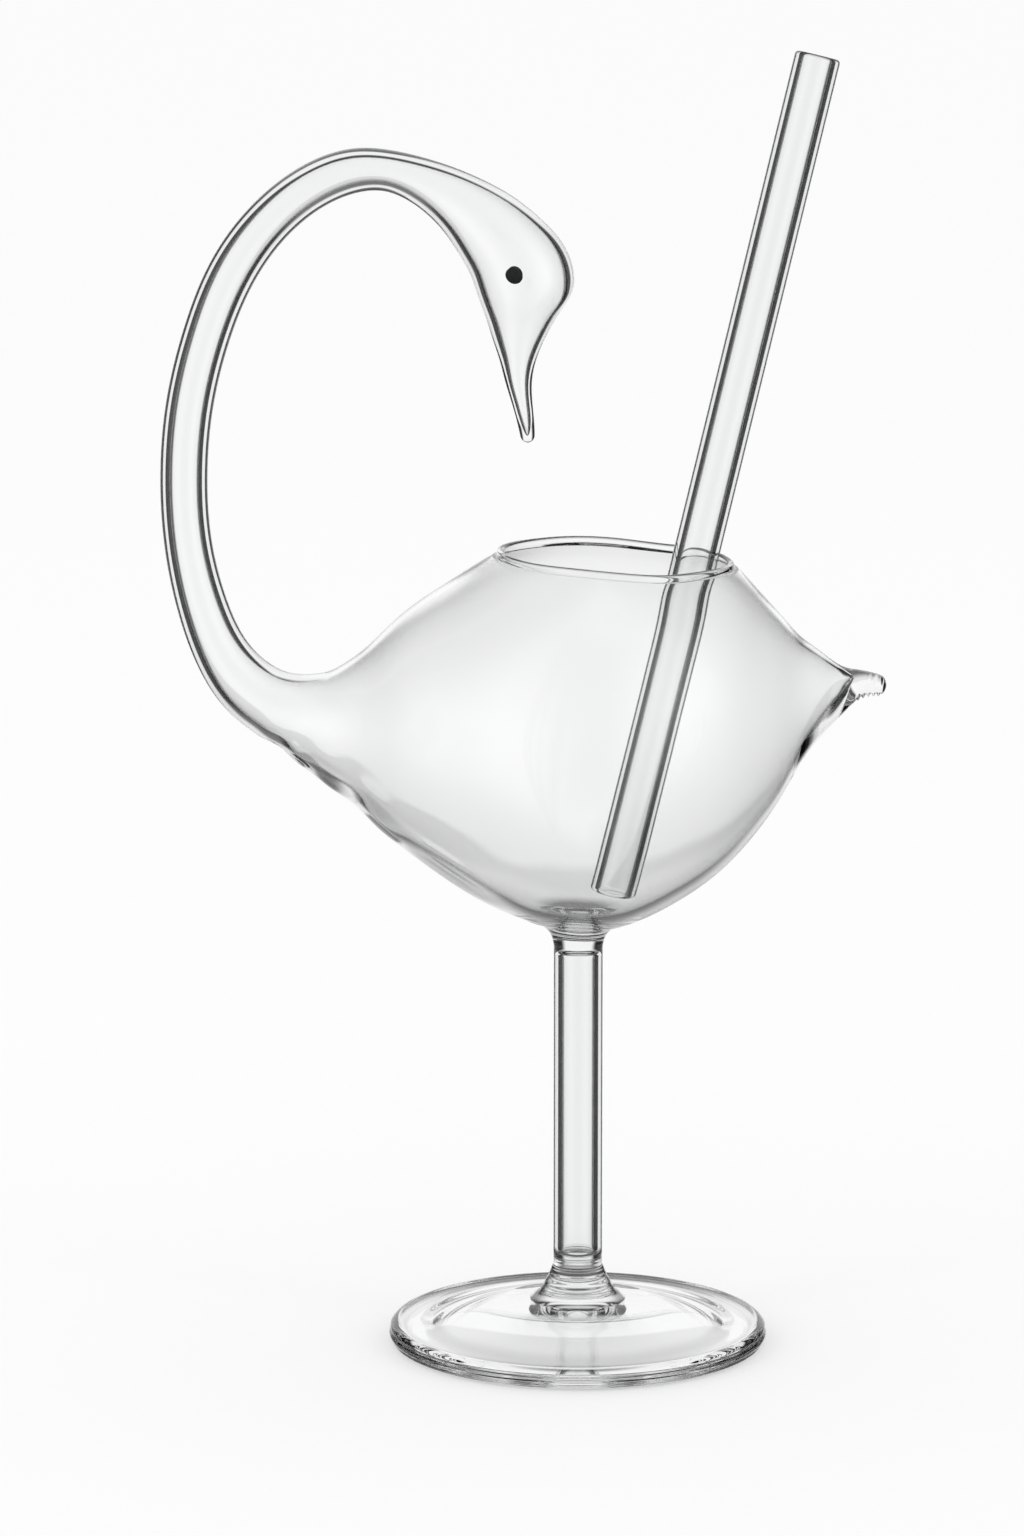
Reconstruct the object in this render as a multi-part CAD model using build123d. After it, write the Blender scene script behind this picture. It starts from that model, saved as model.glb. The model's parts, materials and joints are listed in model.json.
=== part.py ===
from build123d import *
import math
import os

# A stemmed drinking glass blown in the shape of a swan, with a loose straight glass straw.
# Millimetres, +Z up. The origin is the centre of the foot on the table, on the stem's axis.
# The bird lies in the XZ plane: +X is towards its tail, -X towards its neck.

# ---- driving dimensions ----
foot_radius = 33.2
foot_rim_height = 3.9
foot_hub_radius = 8.3  # flat seat of the lower collar
foot_hub_height = 8.0
foot_glass = 2.5  # thickness of the foot's disc between hub and rim
foot_rim_round = 2.6  # how far the rim rounds out past the flat ring that stands on the table
foot_rest_width = 3.0  # of that flat ring

stem_radius = 4.3
stem_bore_radius = 2.85
stem_bottom = 15.0
stem_length = 56.2

collar_radius = 10.5  # upper collar, where it spreads under the bowl
collar_height = 3.8  # from the top of the stem to the lowest point of the bowl

bowl_radius = 35.5  # the bird's whole line grows with it
bowl_wall = 1.4
bowl_floor = 0.8  # how much thicker the bowl is underneath than at its shoulder

mouth_x = 6.3  # centre of the mouth, beside the stem's axis
mouth_radius = 20.3  # outside of the rolled rim
mouth_tilt = 3.0  # degrees, lower towards the tail
bead_radius = 0.7  # fire-polished rim

neck_radius = 4.1
neck_wall = 1.6
head_radius = 8.55
head_wall = 1.5
head_flatness = 0.92  # width of the head across the bird over its depth

eye_radius = 1.3
eye_dome = 0.4  # how far an eye stands proud of the head
eye_x = -11.1
eye_left_rise = 78.9  # over the bowl's axis; the two are set by hand and are not level
eye_right_rise = 77.4

straw_radius = 4.0
straw_bore_radius = 2.6
straw_length = 150.0
straw_lean = 14.2  # degrees from upright
straw_azimuth = 17.4  # degrees, direction of the lean seen from above
straw_side = 14.0  # degrees, side of the mouth that it rests on
straw_edge = 0.6  # rounding of its melted ends
straw_clearance = 0.35  # kept to the bowl and the rim
straw_step = 0.05  # fineness of the search for where its end rests

section_points = 12  # points on each section's closed curve
station_steps = 2  # sections of the bowl from each station to the next

# ---- stations along the bird, from tail to beak ----
# Each is (x, height over the bowl's axis, heading in degrees, radius, width over depth, wall,
# extra glass underneath). The heading is the direction of travel in the XZ plane, and the
# section stands square to it. Places are those of a bird with a bowl of drawn_radius, and are
# stretched from the bowl's axis for any other.
drawn_radius = 35.5
bird_stretch = bowl_radius / drawn_radius
bowl_height = stem_bottom + stem_length + collar_height + bowl_radius
tail_radius = 0.108 * bowl_radius
bowl_profile = [  # x, height, heading, share of the bowl's radius
    (46.0, 6.1, 180, tail_radius / bowl_radius),
    (42.0, 5.3, 180, 0.208),
    (38.3, 4.2, 180, 0.318),
    (34.8, 3.1, 180, 0.456),
    (31.0, 2.5, 180, 0.592),
    (26.6, 2.3, 180, 0.728),
    (16.4, 1.2, 180, 0.913),
    (6.3, 0.0, 180, 1.000),
    (-4.0, -0.6, 180, 0.985),
    (-13.8, -1.0, 180, 0.878),
    (-24.0, -1.2, 180, 0.706),
    (-31.0, -1.2, 180, 0.566),
    (-37.5, -0.9, 178, 0.398),
    (-42.0, -0.3, 174, 0.304),
    (-45.0, 0.5, 168, 0.252),
]
bowl_stations = [
    (x, height, heading, share * bowl_radius, 1.0, bowl_wall, bowl_floor)
    for x, height, heading, share in bowl_profile
]
neck_profile = [  # x, height, heading, share of the neck's radius
    (-52.4, 3.4, 151, 1.52),
    (-57.6, 6.9, 133, 1.34),
    (-61.8, 12.5, 118, 1.17),
    (-65.0, 20.4, 107, 1.07),
    (-67.4, 31.1, 97, 1.01),
    (-68.1, 43.6, 90, 1.00),
    (-67.0, 55.8, 81, 1.00),
    (-64.1, 67.5, 71, 1.00),
    (-58.9, 79.7, 60, 1.01),
    (-52.0, 88.5, 44, 0.98),
    (-44.8, 93.8, 28, 0.96),
    (-38.0, 96.1, 8, 0.92),
    (-32.7, 96.0, -11, 0.87),
]
neck_root = (-47.6, 1.7, 161, 1.84 * neck_radius, 1.0, bowl_wall, 0)
neck_stations = [
    (x, height, heading, share * neck_radius, 1.0, neck_wall, 0)
    for x, height, heading, share in neck_profile
]
head_profile = [  # x, height, heading, share of the head's radius
    (-21.1, 91.1, -45, 0.62),
    (-17.1, 88.1, -54, 0.755),
    (-13.4, 84.4, -65, 0.895),
    (-10.8, 80.9, -72, 0.98),
    (-9.4, 77.2, -79, 1.00),
    (-9.1, 74.2, -82, 0.925),
    (-9.6, 71.1, -83, 0.745),
    (-10.2, 67.6, -84, 0.555),
]
nape = (-27.2, 94.3, -26, 0.47 * head_radius, 1.0, head_wall, 0)
head_stations = [
    (x, height, heading, share * head_radius, head_flatness, head_wall, 0)
    for x, height, heading, share in head_profile
]
beak_root = (-10.5, 63.9, -86, 0.386 * head_radius, 1.0, 1.5 * head_wall, 0)
beak_stations = [
    (-10.4, 59.6, -86, 0.265 * head_radius, 1.0, 0, 0),
    (-9.7, 55.4, -87, 0.200 * head_radius, 1.1, 0, 0),
    (-9.0, 51.2, -87, 0.155 * head_radius, 1.2, 0, 0),
    (-8.8, 49.6, -87, 0.090 * head_radius, 1.2, 0, 0),
]
tail_stations = [
    (48.2, 6.9, 178, 0.58 * tail_radius, 1.15, 0, 0),
    (50.4, 7.1, 172, 0.39 * tail_radius, 1.7, 0, 0),
    (52.4, 6.8, 150, 0.31 * tail_radius, 1.8, 0, 0),
    (53.2, 6.1, 125, 0.18 * tail_radius, 1.7, 0, 0),
]


def eased(before, start, end, after, t):
    """Cubic through start at t = 0 and end at t = 1, with the slopes of their neighbours."""
    slope_start, slope_end = (end - before) / 2, (after - start) / 2
    bend = 3 * (end - start) - 2 * slope_start - slope_end
    twist = slope_start + slope_end - 2 * (end - start)
    return start + t * (slope_start + t * (bend + t * twist))


def between(stations):
    """The stations with evenly eased ones put between them."""
    ends = [stations[0]] + stations + [stations[-1]]
    filled = []
    for i in range(1, len(stations)):
        for step in range(station_steps):
            columns = zip(ends[i - 1], ends[i], ends[i + 1], ends[i + 2])
            filled.append(tuple(eased(*column, step / station_steps) for column in columns))
    return filled + [stations[-1]]


def on_bird(x, rise, y=0.0):
    """Point of the drawn bird, at a rise over the bowl's axis, on the bird as sized."""
    return Vector(bird_stretch * x, y, bowl_height + bird_stretch * rise)


def section_plane(station):
    """Plane square to the heading at a station, with its X axis towards the bird's breast."""
    x, height, heading = station[:3]
    turn = math.radians(heading)
    return Plane(
        origin=on_bird(x, height),
        x_dir=(-math.sin(turn), 0, math.cos(turn)),
        z_dir=(math.cos(turn), 0, math.sin(turn)),
    )


def section(station, inset=0.0, lift=0.0):
    """Ellipse at a station, smaller all round by inset and raised by lift.

    It is a closed curve through evenly turned points that starts on the bird's underside, so
    that every section of a loft starts and runs alike, whether it is deeper or wider.
    """
    depth, width = station[3] - inset, station[3] * station[4] - inset
    angles = [2 * math.pi * i / section_points for i in range(section_points)]
    points = [(depth * math.cos(a), width * math.sin(a)) for a in angles]
    return Pos(0, 0, lift) * section_plane(station) * make_face(Spline(*points, periodic=True))


def skin(stations):
    """Closed solid through the outer sections."""
    return loft([section(s) for s in stations])


def hollow(stations):
    """Closed solid of the air inside: one wall in, and lifted where the glass is thicker below."""
    return loft([section(s, s[5] + s[6] / 2, s[6] / 2) for s in stations])


def block(station, reach, side=Align.MIN):
    """Box on a station's section, reach long and twice as wide: ahead of it, or behind with MAX."""
    box = Box(2 * reach, 2 * reach, reach, align=(Align.CENTER, Align.CENTER, side))
    return section_plane(station) * box


# ---- the bird: one smooth form, divided at the neck's root, the nape and the beak's root ----
body_stations = between(bowl_stations + [neck_root] + neck_stations[:2])
upper_stations = bowl_stations[-2:] + [neck_root] + neck_stations + [nape] + head_stations
body_skin = skin(body_stations)
upper_skin = skin(upper_stations + [beak_root] + beak_stations)
body_wall = body_skin - block(neck_root, bowl_radius) - hollow(body_stations)
upper_wall = upper_skin - hollow(upper_stations + [beak_root])
ahead_of_nape = block(nape, 45)
ahead_of_beak_root = block(beak_root, 20)

mouth_rise = math.sqrt(bowl_radius**2 - mouth_radius**2)
mouth_centre = Vector(bird_stretch * mouth_x, 0, bowl_height + mouth_rise)
mouth_plane = Plane(mouth_centre, x_dir=(1, 0, 0), z_dir=(0, 0, 1)).rotated((0, mouth_tilt, 0))
mouth_clear_radius = mouth_radius - 2 * bead_radius


def make_bowl():
    """Blown bulb with a round mouth on top, open to the neck, and a rolled rim."""
    lid = mouth_plane * Cylinder(
        2 * mouth_radius, bowl_radius, align=(Align.CENTER, Align.CENTER, Align.MIN)
    )
    throat = mouth_plane * Cylinder(mouth_clear_radius, 4 * bowl_wall)
    bead = mouth_plane * Torus(mouth_radius - bead_radius, bead_radius)
    return body_wall - lid - throat + bead


def make_eye(side, rise):
    """Small black dome on one cheek, whose back lies on the head."""
    ball_radius = (eye_radius**2 + eye_dome**2) / (2 * eye_dome)
    cheek = head_flatness * head_radius
    centre = on_bird(eye_x, rise, side * (cheek + eye_dome - ball_radius))
    return Pos(centre) * Sphere(ball_radius) - upper_skin


# ---- foot, collars and stem ----
def make_foot():
    """Shallow cone of glass with a thick rolled rim, hollow underneath."""
    rest_outer = foot_radius - foot_rim_round
    rest_inner = rest_outer - foot_rest_width
    rim_inner = rest_outer - 0.2
    waist_radius = (foot_hub_radius + rest_inner) / 2
    waist_top = foot_rim_height + 0.9
    under_centre = foot_hub_height - 1.5 * foot_glass
    with BuildPart() as foot:
        with BuildSketch(Plane.XZ):
            with BuildLine():
                Spline(
                    (0, under_centre),
                    (waist_radius, waist_top - foot_glass),
                    (rest_inner, 0),
                    tangents=[(1, 0), (1, -0.25)],
                )
                Line((rest_inner, 0), (rest_outer, 0))
                ThreePointArc(
                    (rest_outer, 0),
                    (foot_radius, 0.52 * foot_rim_height),
                    (rest_outer + 0.9, foot_rim_height),
                )
                ThreePointArc(
                    (rest_outer + 0.9, foot_rim_height),
                    (rest_outer + 0.3, foot_rim_height - 0.1),
                    (rim_inner, foot_rim_height - 0.5),
                )
                Spline(
                    (rim_inner, foot_rim_height - 0.5),
                    (waist_radius, waist_top),
                    (foot_hub_radius, foot_hub_height),
                    tangents=[(-1, 0.02), (-1, 0.85)],
                )
                Line((foot_hub_radius, foot_hub_height), (0, foot_hub_height))
                Line((0, foot_hub_height), (0, under_centre))
            make_face()
        revolve(axis=Axis.Z)
    return foot.part


def flare(base_radius, base, top):
    """Solid of revolution from base_radius at height base, curving in to the stem at top."""
    middle = (stem_radius + 0.36 * (base_radius - stem_radius), base + 0.42 * (top - base))
    with BuildPart() as piece:
        with BuildSketch(Plane.XZ):
            with BuildLine():
                Line((0, base), (base_radius, base))
                Spline((base_radius, base), middle, (stem_radius, top))
                Line((stem_radius, top), (0, top))
                Line((0, top), (0, base))
            make_face()
        revolve(axis=Axis.Z)
    return piece.part


def make_stem():
    """Tube, open at both ends and closed by the collars."""
    tube = Cylinder(stem_radius, stem_length) - Cylinder(stem_bore_radius, stem_length)
    return Pos(0, 0, stem_bottom + stem_length / 2) * tube


def make_stem_collar():
    """Solid flare under the bowl, whose top takes the shape of the bowl."""
    top = stem_bottom + stem_length
    under = bowl_height - math.sqrt(bowl_radius**2 - collar_radius**2)
    return flare(collar_radius, under + bowl_wall / 4, top) - body_skin


# ---- straw ----
def bowl_room(x):
    """Height of the bowl's axis at x, and the room round it inside the glass."""
    places = [(on_bird(p[0], p[1]), p[3] * bowl_radius) for p in bowl_profile]
    for (ahead, radius_ahead), (behind, radius_behind) in zip(places, places[1:]):
        if behind.X <= x <= ahead.X:
            share = (ahead.X - x) / (ahead.X - behind.X)
            radius = radius_ahead + share * (radius_behind - radius_ahead)
            return ahead.Z + share * (behind.Z - ahead.Z), radius - bowl_wall - bowl_floor
    return bowl_height, 0.0


def end_clear(foot, along):
    """True if the straw's lower end, at foot, is clear of the bowl all round."""
    end = Plane(origin=foot, z_dir=along)
    for i in range(section_points):
        turn = 2 * math.pi * i / section_points
        corner = end.from_local_coords((straw_radius * math.cos(turn), straw_radius * math.sin(turn)))
        axis_height, room = bowl_room(corner.X)
        if math.hypot(corner.Y, corner.Z - axis_height) > room - straw_clearance:
            return False
    return True


def straw_axis():
    """Foot and direction of the straw: against the rim, with its end on the bowl's inside."""
    lean, azimuth = math.radians(straw_lean), math.radians(straw_azimuth)
    along = Vector(
        math.sin(lean) * math.cos(azimuth), math.sin(lean) * math.sin(azimuth), math.cos(lean)
    )
    reach = mouth_clear_radius - straw_radius / math.cos(lean) - straw_clearance
    side = math.radians(straw_side)
    at_rim = mouth_centre + Vector(reach * math.cos(side), reach * math.sin(side), 0)
    foot = at_rim - along * mouth_rise
    while end_clear(foot - along * straw_step, along):
        foot = foot - along * straw_step
    return foot, along


def make_straw():
    """Straight tube with melted, rounded ends, leaning in the mouth."""
    foot, along = straw_axis()
    tube = Cylinder(straw_radius, straw_length, align=(Align.CENTER, Align.CENTER, Align.MIN))
    tube = tube - Cylinder(
        straw_bore_radius, straw_length, align=(Align.CENTER, Align.CENTER, Align.MIN)
    )
    ends = tube.edges().filter_by(GeomType.CIRCLE)
    tube = fillet(ends, min(straw_edge, 0.45 * (straw_radius - straw_bore_radius)))
    return Plane(origin=foot, z_dir=along) * tube


parts = {
    "foot": make_foot(),
    "foot_collar": flare(foot_hub_radius, foot_hub_height, stem_bottom),
    "stem": make_stem(),
    "stem_collar": make_stem_collar(),
    "bowl": make_bowl(),
    "tail_tip": skin([bowl_stations[0]] + tail_stations),
    "neck": upper_wall - block(neck_root, bowl_radius, Align.MAX) - ahead_of_nape,
    "head": (upper_wall & ahead_of_nape) - ahead_of_beak_root,
    "beak": upper_skin & ahead_of_beak_root,
    "eye_left": make_eye(-1, eye_left_rise),
    "eye_right": make_eye(1, eye_right_rise),
    "straw": make_straw(),
}

os.makedirs("parts", exist_ok=True)
for name, solid in parts.items():
    export_step(solid, f"parts/{name}.step")
    print(name, round(solid.volume, 2))
print("straw foot and direction:", *straw_axis())
print("mouth centre:", mouth_centre)
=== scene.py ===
import json
import math
import bpy
import numpy as np
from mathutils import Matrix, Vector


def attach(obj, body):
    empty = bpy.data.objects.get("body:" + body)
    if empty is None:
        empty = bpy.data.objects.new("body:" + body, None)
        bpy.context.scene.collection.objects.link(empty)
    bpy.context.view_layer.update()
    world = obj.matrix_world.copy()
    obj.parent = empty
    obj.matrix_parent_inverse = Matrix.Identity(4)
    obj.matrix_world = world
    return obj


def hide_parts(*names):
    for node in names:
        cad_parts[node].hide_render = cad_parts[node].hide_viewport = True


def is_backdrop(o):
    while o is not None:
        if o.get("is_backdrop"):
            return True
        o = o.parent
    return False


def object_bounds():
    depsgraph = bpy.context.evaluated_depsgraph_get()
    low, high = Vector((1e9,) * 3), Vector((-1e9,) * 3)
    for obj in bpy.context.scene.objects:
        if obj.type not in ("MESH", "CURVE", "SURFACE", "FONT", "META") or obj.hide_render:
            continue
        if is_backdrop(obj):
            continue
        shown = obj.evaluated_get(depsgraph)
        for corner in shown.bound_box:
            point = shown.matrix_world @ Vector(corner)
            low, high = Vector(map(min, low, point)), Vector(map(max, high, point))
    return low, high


# Stemmed swan glass with a loose glass straw. Shapes are worked out in millimetres, with +Z up,
# the foot's centre at the origin and the bird in the XZ plane, its tail towards +X.

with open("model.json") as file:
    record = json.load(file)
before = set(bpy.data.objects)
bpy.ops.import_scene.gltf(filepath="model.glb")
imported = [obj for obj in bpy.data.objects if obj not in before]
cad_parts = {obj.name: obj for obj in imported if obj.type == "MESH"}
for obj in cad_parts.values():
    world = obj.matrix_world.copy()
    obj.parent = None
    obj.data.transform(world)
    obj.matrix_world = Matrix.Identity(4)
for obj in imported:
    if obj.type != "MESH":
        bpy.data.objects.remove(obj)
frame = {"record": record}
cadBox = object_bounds()
scene = bpy.context.scene

cameraView = {"x": -11.58, "y": -1100.0, "z": 308.0, "pitch": 10.57, "lens": 150.94}

lens = bpy.data.cameras.new("view")
lens.sensor_width = 36.0
lens.lens = cameraView["lens"]
camera = bpy.data.objects.new("view", lens)
scene.collection.objects.link(camera)
camera.location = [0.001 * cameraView[axis] for axis in "xyz"]
camera.rotation_euler = (math.radians(90 - cameraView["pitch"]), 0, 0)
scene.camera = camera
print("camera placed")


# natural cubic spline through (knots, values), as a function of an array
def smoothCurve(knots, values):
    knots, values = np.asarray(knots, float), np.asarray(values, float)
    gap = np.diff(knots)
    slope = np.diff(values) / gap
    inner = np.arange(1, len(knots) - 1)
    system = np.eye(len(knots))
    system[inner, inner - 1] = gap[:-1]
    system[inner, inner] = 2 * (gap[:-1] + gap[1:])
    system[inner, inner + 1] = gap[1:]
    known = np.zeros(len(knots))
    known[inner] = 6 * np.diff(slope)
    bend = np.linalg.solve(system, known)

    def curve(t):
        i = np.clip(np.searchsorted(knots, t) - 1, 0, len(gap) - 1)
        a = (knots[i + 1] - t) / gap[i]
        b = 1 - a
        cubic = (a**3 - a) * bend[i] + (b**3 - b) * bend[i + 1]
        return a * values[i] + b * values[i + 1] + cubic * gap[i] ** 2 / 6

    return curve


# 0 below start, 1 above end, and an even S between them
def step(start, end, value):
    t = np.clip((value - start) / (end - start), 0, 1)
    return t * t * (3 - 2 * t)


def unit(vectors):
    return vectors / np.maximum(np.linalg.norm(vectors, axis=-1, keepdims=True), 1e-12)


# normals of surface(u, v): cross product of its two small differences
def surfaceNormals(surface, u, v, du=0.02, dv=0.002):
    alongU = surface(u + du, v) - surface(u - du, v)
    alongV = surface(u, v + dv) - surface(u, v - dv)
    return unit(np.cross(alongV, alongU))


# collects the grids and caps of one closed mesh, then makes the object; slot 0 of its materials
# is the glass or enamel, slot 1 the clear face where it is one glass with its neighbour
class Piece:
    def __init__(self, name):
        self.name, self.count = name, 0
        self.points, self.normals, self.faces, self.slots = [], [], [], []

    def add(self, points, normals):
        shape = points.shape[:-1]
        ids = self.count + np.arange(points[..., 0].size).reshape(shape)
        self.points.append(points.reshape(-1, 3))
        self.normals.append(normals.reshape(-1, 3))
        self.count += points[..., 0].size
        return ids

    # quads between neighbouring rows and columns of ids, the last column joined to the first
    def skin(self, ids, flip=False, slot=0, keep=None):
        after = np.roll(ids, -1, axis=1)
        quads = np.stack([ids[:-1], after[:-1], after[1:], ids[1:]], axis=-1)
        slots = np.full(quads.shape[:2], slot) if np.isscalar(slot) else slot
        keep = np.ones(quads.shape[:2], bool) if keep is None else keep
        quads = quads[..., ::-1] if flip else quads
        self.faces.append(quads[keep])
        self.slots.append(slots[keep])

    # triangles from a ring of ids to one point
    def fan(self, ring, point, normal, flip=False, slot=0):
        tip = self.add(np.asarray([point], float), np.asarray([normal], float))[0]
        after = np.roll(ring, -1)
        triangles = np.stack([ring, after, np.full(len(ring), tip)], axis=-1)
        self.faces.append(triangles[:, ::-1] if flip else triangles)
        self.slots.append(np.full(len(ring), slot))

    # normals turned to the side that the glass faces round them show
    def outward(self, points):
        total = np.zeros((self.count, 3))
        for faces, slots in zip(self.faces, self.slots):
            faces = faces[slots == 0]
            first = points[faces[:, 1]] - points[faces[:, 0]]
            second = points[faces[:, 2]] - points[faces[:, 1]]
            facing = unit(np.cross(first, second))
            for corner in faces.T:
                for axis in range(3):
                    total[:, axis] += np.bincount(corner, facing[:, axis], self.count)
        normals = unit(np.concatenate(self.normals))
        return normals * np.where(np.sum(normals * total, axis=1, keepdims=True) < 0, -1, 1)

    def make(self, materials, body, nodes, slotName):
        mesh = bpy.data.meshes.new(self.name)
        points = np.concatenate(self.points)
        sizes = np.concatenate([np.full(len(f), f.shape[1]) for f in self.faces])
        corners = np.concatenate([f.ravel() for f in self.faces])
        mesh.vertices.add(self.count)
        mesh.vertices.foreach_set("co", 0.001 * points.ravel())
        mesh.loops.add(len(corners))
        mesh.loops.foreach_set("vertex_index", corners)
        mesh.polygons.add(len(sizes))
        mesh.polygons.foreach_set("loop_start", np.cumsum(sizes) - sizes)
        mesh.polygons.foreach_set("material_index", np.concatenate(self.slots))
        mesh.polygons.foreach_set("use_smooth", np.ones(len(sizes), bool))
        mesh.update(calc_edges=True)
        mesh.validate()
        mesh.normals_split_custom_set_from_vertices(self.outward(points))
        for material in materials:
            mesh.materials.append(material)
        piece = bpy.data.objects.new(self.name, mesh)
        scene.collection.objects.link(piece)
        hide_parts(*nodes)
        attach(piece, body)
        print(self.name, "made,", int((sizes - 2).sum()), "triangles")
        return piece


# materials
glassLook = {
    "ior": 1.47,
    "thinTint": (0.98, 0.984, 0.982, 1.0),
    # darker tint of the same glass for the foot, collar, stem and straw: painted shade that makes
    # these parts greyer than the bowl, not a colour of the glass
    "thickTint": (0.955, 0.962, 0.958, 1.0),
    "waveSize": 9.0,  # mm between the slow waves of blown glass
    "waveDepth": 0.012,
    "drawnWave": 0.6,  # share of that depth in drawn glass and in tube glass
    "tubeWave": 0.3,
    "haze": 0.004,  # roughness of wiped glass
}


def makeGroup(name, inputs, outputs):
    group = bpy.data.node_groups.new(name, "ShaderNodeTree")
    for label, value in inputs.items():
        socket = group.interface.new_socket(label, in_out="INPUT", socket_type="NodeSocketFloat")
        socket.default_value = value
    for label in outputs:
        group.interface.new_socket(label, in_out="OUTPUT", socket_type="NodeSocketFloat")
    return group, group.nodes.new("NodeGroupInput"), group.nodes.new("NodeGroupOutput")


# slow waves left by blowing and turning in the flame, and the faint haze of wiping
def makeBlownGlass():
    group, given, result = makeGroup(
        "blownGlass", {"Wave Scale": 110.0, "Haze": 0.004}, ["Height", "Roughness"]
    )
    nodes, link = group.nodes, group.links.new
    place = nodes.new("ShaderNodeTexCoord")
    wave = nodes.new("ShaderNodeTexNoise")
    wave.inputs["Detail"].default_value = 1.0
    wave.inputs["Roughness"].default_value = 0.4
    link(place.outputs["Object"], wave.inputs["Vector"])
    link(given.outputs["Wave Scale"], wave.inputs["Scale"])
    link(wave.outputs["Fac"], result.inputs["Height"])
    smear = nodes.new("ShaderNodeTexNoise")
    smear.inputs["Scale"].default_value = 45.0
    smear.inputs["Detail"].default_value = 3.0
    link(place.outputs["Object"], smear.inputs["Vector"])
    haze = nodes.new("ShaderNodeMath")
    haze.operation = "MULTIPLY"
    link(smear.outputs["Fac"], haze.inputs[0])
    link(given.outputs["Haze"], haze.inputs[1])
    link(haze.outputs[0], result.inputs["Roughness"])
    return group


blownGlass = makeBlownGlass()


def makeGlass(name, tint, sizeShare, depthShare):
    material = bpy.data.materials.new(name)
    material.use_nodes = True
    nodes, link = material.node_tree.nodes, material.node_tree.links.new
    shader = nodes["Principled BSDF"]
    shader.inputs["Base Color"].default_value = glassLook[tint]
    shader.inputs["Transmission Weight"].default_value = 1.0
    shader.inputs["IOR"].default_value = glassLook["ior"]
    blown = nodes.new("ShaderNodeGroup")
    blown.node_tree = blownGlass
    blown.inputs["Wave Scale"].default_value = 1000 / (sizeShare * glassLook["waveSize"])
    blown.inputs["Haze"].default_value = glassLook["haze"]
    bump = nodes.new("ShaderNodeBump")
    bump.inputs["Strength"].default_value = 1.0
    bump.inputs["Distance"].default_value = 0.001 * depthShare * glassLook["waveDepth"]
    link(blown.outputs["Height"], bump.inputs["Height"])
    link(bump.outputs["Normal"], shader.inputs["Normal"])
    link(blown.outputs["Roughness"], shader.inputs["Roughness"])
    return material


# where two pieces are one glass nothing shows: their shared face is fully clear
def makeJoin():
    material = bpy.data.materials.new("fusedJoin")
    material.use_nodes = True
    material.node_tree.nodes["Principled BSDF"].inputs["Alpha"].default_value = 0.0
    return material


bowlGlass = makeGlass("bowlGlass", "thinTint", 1, 1)
drawnGlass = makeGlass("drawnGlass", "thinTint", 1, glassLook["drawnWave"])
# the foot, collar, stem and straw take the darker tint, which is painted shade
tubeGlass = makeGlass("tubeGlass", "thickTint", 2, glassLook["tubeWave"])
fusedJoin = makeJoin()
print("glass mixed")

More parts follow.
